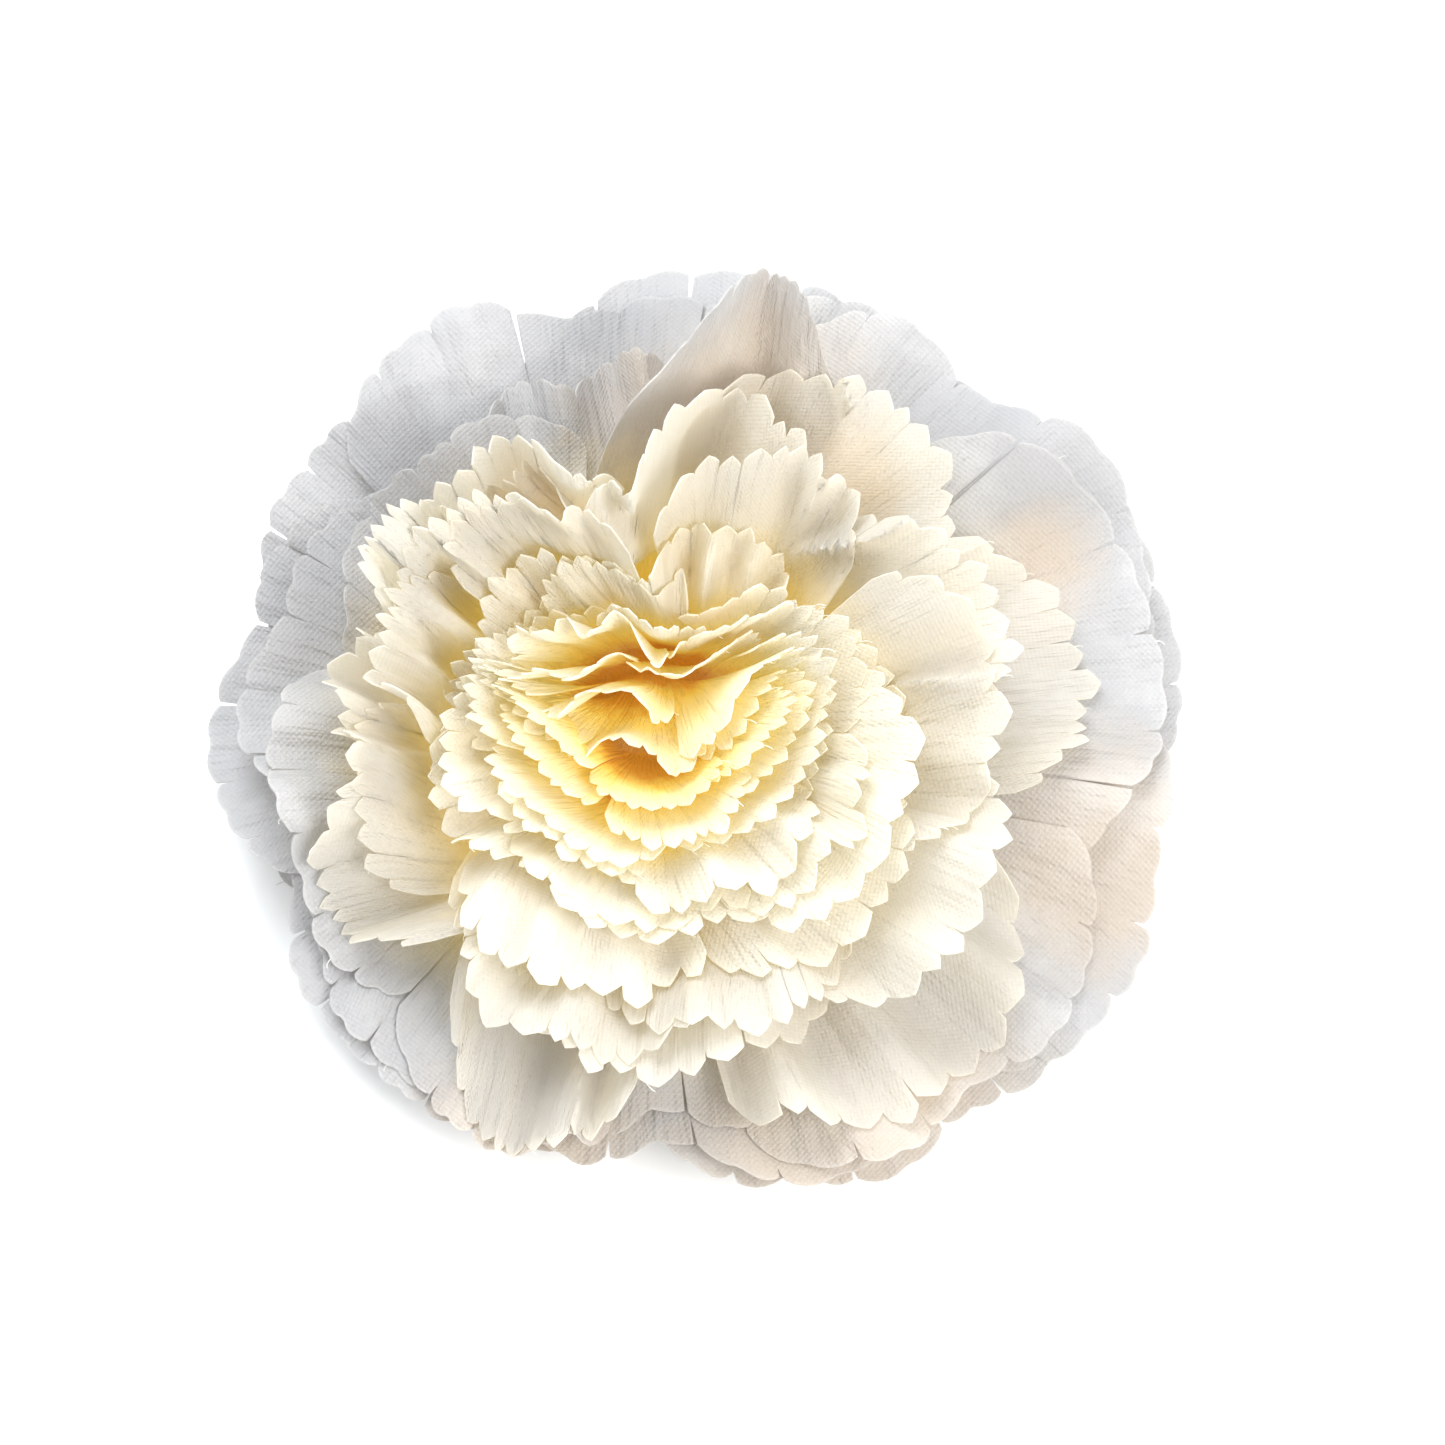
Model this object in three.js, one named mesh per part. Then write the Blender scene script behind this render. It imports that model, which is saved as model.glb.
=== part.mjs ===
// Artificial carnation flower head: fifteen die-cut fabric layers threaded on a moulded peg,
// over a green calyx with five sepals, and held down by a pressed-on cap.
// Millimetres, +Z up. The origin is the middle of the peg's flat foot, on the surface it stands on.
import * as THREE from "three";

// ---- Plastic parts ----
const FOOT_RADIUS = 6; // the peg's flat foot, which the head stands on
const FOOT_THICKNESS = 1.2;
const PEG_RADIUS = 1.6;
const PEG_CLEARANCE = 0.35; // between the peg and every hole around it
const SEAT_GAP = 0.3; // between pieces that rest on each other
const CALYX_HEIGHT = 5.4;
const CALYX_RADIUS = 7; // of the cup, where the sepals leave it
const SEPAL_REACH = 17; // from the axis to a sepal's point
const SEPAL_THICKNESS = 0.8;
const SEPAL_COUNT = 5;
const SPACER_RADIUS = 4.2;
const SPACER_THICKNESS = 1;
const CAP_RADIUS = 2.7;
const CAP_HEIGHT = 1.6;
const CAP_ROOF = 0.6; // over the end of the peg

// ---- Fabric ----
const HEAD_RADIUS = 46; // cut radius of the widest layer
const FABRIC_THICKNESS = 0.3;
const LAYER_GAP = 0.35; // free height between two layers at the peg
const LAYER_CLEARANCE = 0.3; // the least that two layers come to each other
const BEND_START = 2.6; // radius at which the innermost layer turns up
const BEND_STEP = 1.7; // each layer out turns up this many layer pitches further out
const FLOOR_CLEARANCE = 0.5; // the lowest petal above the surface
const LOBES = 6; // petals in each layer
const NOTCH_WIDTH = 3.4; // widest a cut between two petals opens, across

const WHOLE_SHARE = 0.55; // least share of a layer's reach that its cuts leave whole

// One row a layer, from the outermost. reach: cut radius as a share of the widest layer's. turn: degrees
// that its first cut is turned from +X. rise: how steeply the petals stand, in degrees. lean: how much
// steeper at the back, +Y, and flatter at the front. over: length of the bend. curl: degrees that the
// tips roll out. cup: how far a petal's sides stand over its middle, and tilt: how far each petal leans
// in, both in layers.
const LAYER_ROWS = [
  // group, reach, turn, rise, lean, over, curl, cup, tilt
  ["outer", 1.00, 8, -4, 6, 12, 2, 0, [0, 0, 0, 0, 0, 0]],
  ["outer", 1.00, 38, 1, 8, 12, 3, 0.1, [0.3, 0, 0.5, 0, 0.2, 0]],
  ["outer", 0.96, 20, 7, 10, 12, 5, 0.2, [0.4, 0.9, 0, 0.4, 0, 0]],
  ["outer", 0.91, 52, 14, 12, 11, 7, 0.3, [0.8, 0.2, 0, 0.5, 0, 0]],
  ["middle", 0.87, 35, 23, 14, 10, 9, 0.3, [1, 0.3, 0, 0, 0.6, 0]],
  ["middle", 0.83, 3, 32, 16, 9, 10, 0.3, [0.4, 0.8, 0.3, 0, 0, 0]],
  ["middle", 0.78, 50, 40, 18, 8, 11, 0.3, [0.3, 0.5, 0, 0.2, 0.4, 0]],
  ["middle", 0.72, 18, 47, 20, 7, 12, 0.3, [0, 0.5, 0.2, 0, 0.3, 0]],
  ["inner", 0.65, 55, 54, 22, 6, 14, 0.2, [0.2, 0.3, 0, 0, 0.2, 0]],
  ["inner", 0.61, 30, 60, 23, 6, 13, 0.2, [0, 0.2, 0.3, 0, 0, 0]],
  ["inner", 0.57, 0, 65, 24, 5.5, 12, 0.2, [0.2, 0, 0.2, 0, 0.3, 0]],
  ["inner", 0.52, 47, 70, 24, 5.5, 10, 0.2, [0, 0.3, 0, 0.2, 0, 0]],
  ["inner", 0.47, 14, 75, 23, 5, 8, 0.1, [0.2, 0, 0.2, 0, 0.2, 0]],
  ["inner", 0.42, 34, 80, 20, 4.5, 5, 0.1, [0, 0.2, 0, 0, 0.2, 0]],
  ["inner", 0.36, 5, 86, 16, 4, 2, 0, [0.1, 0, 0.1, 0, 0, 0]],
];
const LAYERS = LAYER_ROWS.map(([group, share, turn, rise, lean, over, curl, cup, tilt]) => {
  return { group, reach: share * HEAD_RADIUS, turn, rise, lean, over, curl, cup, tilt };
});

// ---- Heights up the peg ----
const BORE_RADIUS = PEG_RADIUS + PEG_CLEARANCE;
const PITCH = FABRIC_THICKNESS + LAYER_GAP;
const CALYX_BOTTOM = FOOT_THICKNESS + SEAT_GAP;
const CALYX_TOP = CALYX_BOTTOM + CALYX_HEIGHT;

const hubHeights = [];
const spacerBottoms = [];
let stackTop = CALYX_TOP;
LAYERS.forEach((layer, i) => {
  if (i > 0 && layer.group !== LAYERS[i - 1].group) {
    spacerBottoms.push(stackTop + SEAT_GAP);
    stackTop += SEAT_GAP + SPACER_THICKNESS;
  }
  hubHeights.push(stackTop + LAYER_GAP + FABRIC_THICKNESS / 2);
  stackTop += PITCH;
});
const CAP_BOTTOM = stackTop + SEAT_GAP;
const PEG_TOP = CAP_BOTTOM + CAP_HEIGHT - CAP_ROOF - SEAT_GAP;

// ---- Shared helpers ----
const RADIANS = Math.PI / 180;
const clamp = (x, low, high) => Math.min(high, Math.max(low, x));
const lerp = THREE.MathUtils.lerp;
const ease = (x) => THREE.MathUtils.smoothstep(x, 0, 1);

// A closed solid from one closed loop of points at each angle round the axis.
function ringSolid(loops) {
  const perLoop = loops[0].length;
  const index = [];
  loops.forEach((_, k) => {
    const next = (k + 1) % loops.length;
    for (let j = 0; j < perLoop; j++) {
      const after = (j + 1) % perLoop;
      const [a, b] = [k * perLoop + j, next * perLoop + j];
      const [c, d] = [next * perLoop + after, k * perLoop + after];
      index.push(a, b, c, a, c, d);
    }
  });
  return new THREE.BufferGeometry().setFromPoints(loops.flat()).setIndex(index);
}

function around(radius, angle, height) {
  return new THREE.Vector3(radius * Math.cos(angle), radius * Math.sin(angle), height);
}

function lathe(profile, segments) {
  const points = profile.map(([r, z]) => new THREE.Vector2(r, z));
  return new THREE.LatheGeometry(points, segments).rotateX(Math.PI / 2);
}

// ---- How a layer lies ----
// A level is a place in the stack as a number, so 3.5 is halfway between layers 3 and 4. Every level has
// its own curve from the peg to the rim, and no two curves cross, so layers that keep their order in
// level can't touch.
const LAST = LAYERS.length - 1;
const valuesOf = (key) => LAYERS.map((layer) => layer[key]);
const TABLES = {
  height: hubHeights,
  bend: LAYERS.map((_, i) => BEND_START + (LAST - i) * BEND_STEP * PITCH),
  reach: valuesOf("reach"),
  rise: valuesOf("rise"),
  lean: valuesOf("lean"),
  over: valuesOf("over"),
  curl: valuesOf("curl"),
};
const CURL_LENGTH = 7; // the part of a petal's tip that rolls out

function atLevel(key, level) {
  const low = clamp(Math.floor(level), 0, LAST - 1);
  return lerp(TABLES[key][low], TABLES[key][low + 1], level - low);
}

// Radius, height and steepness of a level's curve at a length from the axis along the fabric.
function curvePoint(level, angle, length) {
  const STEP = 0.5;
  const lean = atLevel("lean", level) * Math.sin(angle);
  const rise = atLevel("rise", level) + lean;
  const bend = atLevel("bend", level);
  const over = atLevel("over", level);
  const curlFrom = atLevel("reach", level) - CURL_LENGTH;
  const curl = atLevel("curl", level);
  const steepness = (s) =>
    RADIANS * (rise * ease((s - bend) / over) - curl * ease((s - curlFrom) / CURL_LENGTH));
  let [radius, height, s] = [BORE_RADIUS, atLevel("height", level), BORE_RADIUS];
  while (s < length - 1e-6) {
    const ds = Math.min(STEP, length - s);
    const phi = steepness(s + ds / 2);
    radius += ds * Math.cos(phi);
    height += ds * Math.sin(phi);
    s += ds;
  }
  return { radius, height, phi: steepness(length) };
}

// Distance between two levels that are one apart, square to the fabric.
function levelSpacing(level, angle, length) {
  const HALF = 0.25;
  const [a, b] = [curvePoint(level - HALF, angle, length), curvePoint(level + HALF, angle, length)];
  const across = Math.cos(a.phi) * (b.height - a.height) - Math.sin(a.phi) * (b.radius - a.radius);
  return Math.max(0.2, across / (2 * HALF));
}

// Which petal of a layer an angle is in, and where across it, from -1 to 1.
function petalAt(layer, angle) {
  const turned = (((angle / RADIANS - layer.turn) / 360) % 1 + 1) % 1 * LOBES;
  const petal = Math.min(LOBES - 1, Math.floor(turned));
  return { petal, across: 2 * (turned - petal) - 1 };
}

// The cuts stop where the bend ends, or at the layer's share of its reach.
function wholeLength(layer) {
  const i = LAYERS.indexOf(layer);
  return Math.max(layer.reach * WHOLE_SHARE, TABLES.bend[i] + layer.over);
}

// How far the fabric reaches at an angle: a rounded petal tip, and a narrow cut on each side.
const TIP_ROUNDING = 0.07;
function rimLength(layer, angle) {
  const { across } = petalAt(layer, angle);
  const fromCut = (1 - Math.abs(across)) * (Math.PI / LOBES) * layer.reach;
  const tip = layer.reach * (1 - TIP_ROUNDING * across ** 4);
  return lerp(wholeLength(layer), tip, clamp(fromCut / (NOTCH_WIDTH / 2), 0, 1));
}

// Where a layer would lie on its own, as a level.
function freeLevel(i, angle, length) {
  const layer = LAYERS[i];
  const { petal, across } = petalAt(layer, angle);
  const share = ease((length - TABLES.bend[i]) / (layer.reach - TABLES.bend[i]));
  const side = layer.tilt[(petal + (across < 0 ? LOBES - 1 : 1)) % LOBES];
  const own = layer.tilt[petal];
  const tilt = lerp(own, (own + side) / 2, Math.abs(across) ** 3);
  return i + share * (tilt + layer.cup * (2 * across * across - 0.67));
}

// Every layer's level on a grid of angles and lengths, pushed apart where two would touch.
const ANGLES = 72;
const LENGTHS = 24;
const GRID_REACH = 1.02 * Math.max(...TABLES.reach);
const gridAngle = (a) => (2 * Math.PI * a) / ANGLES;
const gridLength = (n) => lerp(BORE_RADIUS, GRID_REACH, n / (LENGTHS - 1));
const levels = LAYERS.map(() => new Float64Array(ANGLES * LENGTHS));
for (let a = 0; a < ANGLES; a++) {
  for (let n = 0; n < LENGTHS; n++) {
    const [angle, length] = [gridAngle(a), gridLength(n)];
    let below = -Infinity;
    LAYERS.forEach((layer, i) => {
      const spacing = levelSpacing(i, angle, Math.min(length, layer.reach));
      const least = (FABRIC_THICKNESS + LAYER_CLEARANCE) / spacing;
      const level = Math.max(freeLevel(i, angle, length), below + least);
      levels[i][a * LENGTHS + n] = level;
      if (length < layer.reach * 1.05) below = level;
    });
  }
}

function levelAt(i, angle, length) {
  const a = ((angle / (2 * Math.PI)) % 1 + 1) % 1 * ANGLES;
  const n = clamp(((length - BORE_RADIUS) / (GRID_REACH - BORE_RADIUS)) * (LENGTHS - 1), 0, LENGTHS - 1.001);
  const [a0, n0] = [Math.floor(a), Math.floor(n)];
  const at = (p, q) => levels[i][(p % ANGLES) * LENGTHS + q];
  const near = lerp(at(a0, n0), at(a0, n0 + 1), n - n0);
  const far = lerp(at(a0 + 1, n0), at(a0 + 1, n0 + 1), n - n0);
  return lerp(near, far, a - a0);
}

// ---- Pieces ----
const PETAL_SAMPLES = [0, 0.06, 0.28, 0.5, 0.72, 0.94]; // shares across a petal
const BEND_RINGS = [0, 0.3, 0.6, 0.97]; // shares of the bend
const TIP_RINGS = [0.5, 1]; // shares of the way from the bend to the rim

function fabricGeometry(i) {
  const layer = LAYERS[i];
  const angles = [];
  for (let petal = 0; petal < LOBES; petal++)
    for (const share of PETAL_SAMPLES) angles.push(RADIANS * (layer.turn + ((petal + share) * 360) / LOBES));
  const bendRings = BEND_RINGS.map((share) => TABLES.bend[i] + share * layer.over);
  const middle = angles.map((angle) => {
    const tipRings = TIP_RINGS.map((share) => lerp(bendRings.at(-1), rimLength(layer, angle), share));
    return [BORE_RADIUS, ...bendRings, ...tipRings].map((length) => {
      const { radius, height } = curvePoint(levelAt(i, angle, length), angle, length);
      return around(radius, angle, Math.max(height, FLOOR_CLEARANCE + FABRIC_THICKNESS / 2));
    });
  });
  const last = middle[0].length - 1;
  const normalAt = (k, j) => {
    const [before, after] = [middle.at(k - 1)[j], middle[(k + 1) % middle.length][j]];
    const out = middle[k][Math.min(j + 1, last)].clone().sub(middle[k][Math.max(j - 1, 0)]);
    return out.cross(after.clone().sub(before)).normalize();
  };
  const loops = middle.map((row, k) => {
    const lift = (side) => (point, j) =>
      point.clone().addScaledVector(normalAt(k, j), (side * FABRIC_THICKNESS) / 2);
    return [...row.map(lift(-1)), ...row.map(lift(1)).reverse()];
  });
  return ringSolid(loops);
}

// The calyx is a cup round the peg whose mouth spreads into pointed sepals under the outermost layer.
function calyxGeometry() {
  const SAMPLES = 8 * SEPAL_COUNT;
  const loops = [];
  for (let k = 0; k < SAMPLES; k++) {
    const angle = (2 * Math.PI * k) / SAMPLES;
    const wave = (1 + Math.cos(SEPAL_COUNT * angle)) / 2;
    const reach = lerp(CALYX_RADIUS + 1, SEPAL_REACH, wave ** 1.6);
    loops.push([
      around(BORE_RADIUS, angle, CALYX_BOTTOM),
      around(CALYX_RADIUS - 1.6, angle, CALYX_BOTTOM),
      around(CALYX_RADIUS - 0.4, angle, CALYX_BOTTOM + CALYX_HEIGHT * 0.35),
      around(CALYX_RADIUS, angle, CALYX_TOP - SEPAL_THICKNESS * 1.4),
      around(reach, angle, CALYX_TOP - SEPAL_THICKNESS),
      around(reach, angle, CALYX_TOP - SEPAL_THICKNESS * 0.3),
      around(CALYX_RADIUS, angle, CALYX_TOP),
      around(BORE_RADIUS, angle, CALYX_TOP),
    ]);
  }
  return ringSolid(loops);
}

function pegGeometry() {
  return lathe([[0, 0], [FOOT_RADIUS, 0], [FOOT_RADIUS, FOOT_THICKNESS], [PEG_RADIUS, FOOT_THICKNESS],
    [PEG_RADIUS, PEG_TOP], [0, PEG_TOP]], 32);
}

function spacerGeometry(bottom) {
  const top = bottom + SPACER_THICKNESS;
  return lathe([[BORE_RADIUS, bottom], [SPACER_RADIUS, bottom], [SPACER_RADIUS, top],
    [BORE_RADIUS, top], [BORE_RADIUS, bottom]], 24);
}

function capGeometry() {
  const top = CAP_BOTTOM + CAP_HEIGHT;
  const roof = PEG_TOP + SEAT_GAP;
  return lathe([[0, roof], [BORE_RADIUS, roof], [BORE_RADIUS, CAP_BOTTOM], [CAP_RADIUS, CAP_BOTTOM],
    [CAP_RADIUS, CAP_BOTTOM + CAP_HEIGHT * 0.4], [CAP_RADIUS * 0.75, top - CAP_HEIGHT * 0.15], [0, top]], 24);
}

// ---- Materials ----
const fabric = (colour) => new THREE.MeshStandardMaterial({ color: colour, roughness: 0.85, metalness: 0, side: THREE.DoubleSide });
const plastic = (colour) => new THREE.MeshStandardMaterial({ color: colour, roughness: 0.5, metalness: 0 });
const MATERIALS = {
  outer: fabric(0xe9eaee),
  middle: fabric(0xf6f1df),
  inner: fabric(0xfbf0c4),
  calyx: plastic(0x5f7f3f),
  peg: plastic(0xe4e0cf),
  cap: plastic(0xc98a2b),
};

// ---- Assembly ----
const head = new THREE.Group();
function add(name, geometry, material) {
  const mesh = new THREE.Mesh(geometry, material);
  mesh.name = name;
  head.add(mesh);
}

add("stem_peg", pegGeometry(), MATERIALS.peg);
add("calyx", calyxGeometry(), MATERIALS.calyx);
LAYERS.forEach((layer, i) => {
  const number = LAYERS.slice(0, i + 1).filter((other) => other.group === layer.group).length;
  add(`${layer.group}_petals_${number}`, fabricGeometry(i), MATERIALS[layer.group]);
});
spacerBottoms.forEach((bottom, i) => add(`spacer_${i + 1}`, spacerGeometry(bottom), MATERIALS.peg));
add("retaining_cap", capGeometry(), MATERIALS.cap);

export default head;
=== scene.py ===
import math
import bpy
import numpy as np
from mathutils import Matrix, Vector


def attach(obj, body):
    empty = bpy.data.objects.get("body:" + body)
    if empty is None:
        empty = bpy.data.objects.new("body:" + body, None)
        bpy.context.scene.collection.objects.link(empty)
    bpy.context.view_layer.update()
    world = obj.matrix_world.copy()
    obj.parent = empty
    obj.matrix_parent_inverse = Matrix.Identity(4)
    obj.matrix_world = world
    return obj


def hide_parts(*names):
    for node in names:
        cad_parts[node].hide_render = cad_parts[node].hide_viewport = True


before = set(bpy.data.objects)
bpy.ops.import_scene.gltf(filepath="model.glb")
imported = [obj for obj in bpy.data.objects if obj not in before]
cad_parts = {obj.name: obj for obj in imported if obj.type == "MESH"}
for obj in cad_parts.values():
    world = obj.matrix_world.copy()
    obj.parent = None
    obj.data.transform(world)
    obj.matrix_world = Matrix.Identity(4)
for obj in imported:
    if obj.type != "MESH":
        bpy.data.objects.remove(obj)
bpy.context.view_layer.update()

# ---- Peg, spacers and cap ----
# The peg runs up the middle of the head and stands on a flat round foot. Two washers part the three
# groups of cloth layers and a small cap pressed over the peg's end holds them all down. They are
# injection moulded in polyethylene, the cap in yellow, and keep a fine spark-eroded mould texture.


class Wire:
    """A number on its way between shader nodes, so that a pattern is written as plain arithmetic."""

    def __init__(self, recipe, socket):
        self.recipe = recipe
        self.socket = socket

    def math(self, operation, *values):
        return self.recipe.node("ShaderNodeMath", {"operation": operation}, dict(enumerate(values)))["Value"]

    def __add__(self, other):
        return self.math("ADD", self, other)

    def __radd__(self, other):
        return self.math("ADD", other, self)

    def __sub__(self, other):
        return self.math("SUBTRACT", self, other)

    def __rsub__(self, other):
        return self.math("SUBTRACT", other, self)

    def __mul__(self, other):
        return self.math("MULTIPLY", self, other)

    def __rmul__(self, other):
        return self.math("MULTIPLY", other, self)

    def __pow__(self, other):
        return self.math("POWER", self, other)

    def __abs__(self):
        return self.math("ABSOLUTE", self)

    def sine(self):
        return self.math("SINE", self)

    def over(self, low, high):
        """0 below low, 1 above high, and a smooth step between."""
        settings = {"interpolation_type": "SMOOTHSTEP"}
        inputs = {"Value": self, "From Min": low, "From Max": high}
        return self.recipe.node("ShaderNodeMapRange", settings, inputs)["Result"]


class Recipe:
    """A tree of nodes, each made from its type, its settings and the values or wires of its sockets."""

    def __init__(self, tree):
        self.tree = tree

    def node(self, kind, settings=None, inputs=None):
        made = self.tree.nodes.new(kind)
        for key, value in (settings or {}).items():
            setattr(made, key, value)
        for key, value in (inputs or {}).items():
            if isinstance(value, Wire):
                self.tree.links.new(value.socket, made.inputs[key])
            else:
                made.inputs[key].default_value = value
        return {socket.name: Wire(self, socket) for socket in made.outputs if socket.enabled}


class Finish(Recipe):
    """One material's nodes."""

    def __init__(self, name):
        self.material = bpy.data.materials.new(name)
        self.material.use_nodes = True
        super().__init__(self.material.node_tree)
        self.tree.nodes.clear()
        self.end = self.tree.nodes.new("ShaderNodeOutputMaterial")

    def mix(self, share, first, second):
        """A colour part of the way from first to second."""
        return self.node("ShaderNodeMix", {"data_type": "RGBA"}, {0: share, 6: first, 7: second})["Result"]

    def noise(self, vector, scale, detail=2.0, roughness=0.5):
        """A random pattern from 0 to 1, with about scale patches to each unit of its vector."""
        inputs = {"Vector": vector, "Scale": scale, "Detail": detail, "Roughness": roughness}
        return self.node("ShaderNodeTexNoise", None, inputs)["Fac"]

    def bump(self, height, distance, strength):
        """A relief that raises the skin by distance, in metres, where height is 1."""
        inputs = {"Height": height, "Distance": distance, "Strength": strength}
        return self.node("ShaderNodeBump", None, inputs)["Normal"]

    def surface(self, shader):
        """The finished material, once its shader is known."""
        self.tree.links.new(shader.socket, self.end.inputs["Surface"])
        return self.material


PLASTIC_IOR = 1.5
TONE_PATCHES = 260.0  # to the metre
MOULD_GRAIN = 5200.0  # grains to the metre
GRAIN_DEPTH = 0.00003
GRAIN_IN_GLOSS = 0.12


def moulded_plastic(name, colour, dark, roughness, milky):
    """Plastic with slightly uneven tone and the mould's grain, milky where it lets light in."""
    finish = Finish(name)
    place = finish.node("ShaderNodeTexCoord")["Object"]
    cloud = finish.noise(place, TONE_PATCHES, 3.0)
    grain = finish.noise(place, MOULD_GRAIN, 2.0, 0.7)
    tone = finish.mix(cloud.over(0.3, 0.7), dark, colour)
    skin = finish.node("ShaderNodeBsdfPrincipled", None, {
        "Base Color": tone,
        "Roughness": roughness + GRAIN_IN_GLOSS * (grain - 0.5),
        "Normal": finish.bump(grain, GRAIN_DEPTH, 0.5),
        "Subsurface Weight": milky,
        "Subsurface Radius": (0.0012, 0.001, 0.0008),
        "Subsurface Scale": 1.0,
        "IOR": PLASTIC_IOR,
    })["BSDF"]
    return finish.surface(skin)


peg_plastic = moulded_plastic("peg_plastic", (0.76, 0.74, 0.62, 1), (0.66, 0.63, 0.5, 1), 0.42, 0.25)
cap_plastic = moulded_plastic("cap_plastic", (0.86, 0.55, 0.1, 1), (0.72, 0.4, 0.05, 1), 0.38, 0.2)
for name, material in (
    ("stem_peg", peg_plastic),
    ("spacer_1", peg_plastic),
    ("spacer_2", peg_plastic),
    ("retaining_cap", cap_plastic),
):
    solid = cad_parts[name]
    solid.data.materials.clear()
    solid.data.materials.append(material)

# ---- Calyx ----
# A green cup round the peg whose mouth spreads into five pointed sepals under the widest layer of cloth.
# It is moulded in soft polyethylene, with a raised rib along each sepal and fine veins beside it, and is
# held by the first cloth layer and the foot.

MM = 0.001  # sizes are in millimetres, and whatever a material or a yarn's curl says is in metres
BORE = 1.95  # radius of the hole for the peg, in the calyx and in every layer of cloth
CALYX_FLOOR = 1.5
CALYX_TOP = 6.9
CALYX_MOUTH = 7.3
CALYX_RINGS = 240
# The cup's outside up to its mouth: distance from the peg's axis, and height above the cup's underside.
CUP_OUTSIDE = [(4.6, 0.0), (5.3, 0.3), (5.9, 1.1), (6.35, 2.3), (6.7, 3.4), (CALYX_MOUTH, 4.15)]
SEPAL_COUNT = 5
SEPAL_VALLEY = 8.0  # how far the rim reaches between two sepals
SEPAL_REACH = 17.0
SEPAL_THICKNESS = 0.8
SEPAL_DROOP = 0.5
RIB_HEIGHT = 0.28
RIB_SHARPNESS = 40
VEINS = 60.0


def shaded_mesh(name, points, faces, material, sharp=0.6):
    """A mesh object from points in millimetres, smooth but for its sharp edges."""
    mesh = bpy.data.meshes.new(name)
    mesh.from_pydata((np.asarray(points) * MM).tolist(), [], [tuple(face) for face in faces])
    mesh.materials.append(material)
    mesh.shade_smooth()
    mesh.set_sharp_from_angle(angle=sharp)
    mesh.update()
    made = bpy.data.objects.new(name, mesh)
    bpy.context.scene.collection.objects.link(made)
    return made


def ring_faces(rings, around):
    """Quads between rings of points that close on themselves, the last ring joined to the first."""
    faces = []
    for k in range(rings):
        here, after = k * around, ((k + 1) % rings) * around
        for j in range(around):
            step = (j + 1) % around
            faces.append((here + j, after + j, after + step, here + step))
    return faces


def calyx_points(rings):
    """Sections round the peg's axis, each out along the underside to the rim and back along the top, with
    the number of points in a section."""
    points = []
    for k in range(rings):
        angle = 2 * math.pi * k / rings
        wave = (1 + math.cos(SEPAL_COUNT * angle)) / 2  # 1 on a sepal's rib and 0 between two sepals
        reach = SEPAL_VALLEY + (SEPAL_REACH - SEPAL_VALLEY) * wave ** 1.5
        rib = RIB_HEIGHT * wave ** RIB_SHARPNESS
        profile = [(r, CALYX_FLOOR + z) for r, z in [(BORE, 0.0)] + CUP_OUTSIDE]
        for share in (0.15, 0.35, 0.55, 0.75, 0.9, 1.0):
            r = CALYX_MOUTH + (reach - CALYX_MOUTH) * share
            droop = SEPAL_DROOP * (share * wave) ** 2
            thin = SEPAL_THICKNESS * (1 - 0.75 * share)
            profile.append((r, CALYX_TOP - 0.15 - thin - droop - rib * (1 - share)))
        for share in (1.0, 0.9, 0.7, 0.45, 0.2, 0.0):
            r = CALYX_MOUTH + (reach - CALYX_MOUTH) * share
            droop = SEPAL_DROOP * (share * wave) ** 2
            profile.append((r, CALYX_TOP - 0.1 * share - droop))
        profile.append((BORE, CALYX_TOP))
        points += [(r * math.cos(angle), r * math.sin(angle), z) for r, z in profile]
    return points, len(profile)


calyx_finish = Finish("calyx_plastic")
place = calyx_finish.node("ShaderNodeTexCoord")["Object"]
parts = calyx_finish.node("ShaderNodeSeparateXYZ", None, {"Vector": place})
out = (parts["X"] * parts["X"] + parts["Y"] * parts["Y"]) ** 0.5
turn = parts["Y"].math("ARCTAN2", parts["Y"], parts["X"])
veins = 0.5 + 0.5 * (turn * VEINS).sine()
cloud = calyx_finish.noise(place, 300.0, 4.0)
green = calyx_finish.mix(cloud.over(0.3, 0.7), (0.13, 0.24, 0.04, 1), (0.24, 0.37, 0.08, 1))
pale = calyx_finish.mix(out.over(0.006, 0.017), (0.36, 0.46, 0.16, 1), green)
calyx_plastic = calyx_finish.surface(calyx_finish.node("ShaderNodeBsdfPrincipled", None, {
    "Base Color": calyx_finish.mix(0.18 * veins, pale, (0.42, 0.5, 0.2, 1)),
    "Roughness": 0.42 + 0.15 * cloud,
    "Normal": calyx_finish.bump(veins * out.over(0.004, 0.009) + 0.4 * cloud, 0.00008, 0.7),
    "Subsurface Weight": 0.12,
    "Subsurface Radius": (0.0008, 0.0012, 0.0004),
    "Subsurface Scale": 1.0,
    "IOR": PLASTIC_IOR,
})["BSDF"])

points, around = calyx_points(CALYX_RINGS)
calyx = shaded_mesh("calyx_cup", points, ring_faces(CALYX_RINGS, around), calyx_plastic)
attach(calyx, "root")
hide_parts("calyx")

# ---- Outer petals ----
# Four die-cut discs of plain-woven white polyester lining, each with six petals. Every petal's rim is cut
# into tabs with rounded scallops, parted by short slits, and the heated die leaves the rims sealed and a
# little paler. The discs are threaded on the peg one by one and their petals are bent up by hand.

SHEETS = 15
OUTER_SHEETS = 4
MIDDLE_SHEETS = 4
PETALS = 6
BACK = math.radians(100)  # the side that the head's centre leans away from
THREAD = 0.40  # pitch of the weave
CLOTH = 0.16  # thickness of the stiffened cloth

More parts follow.
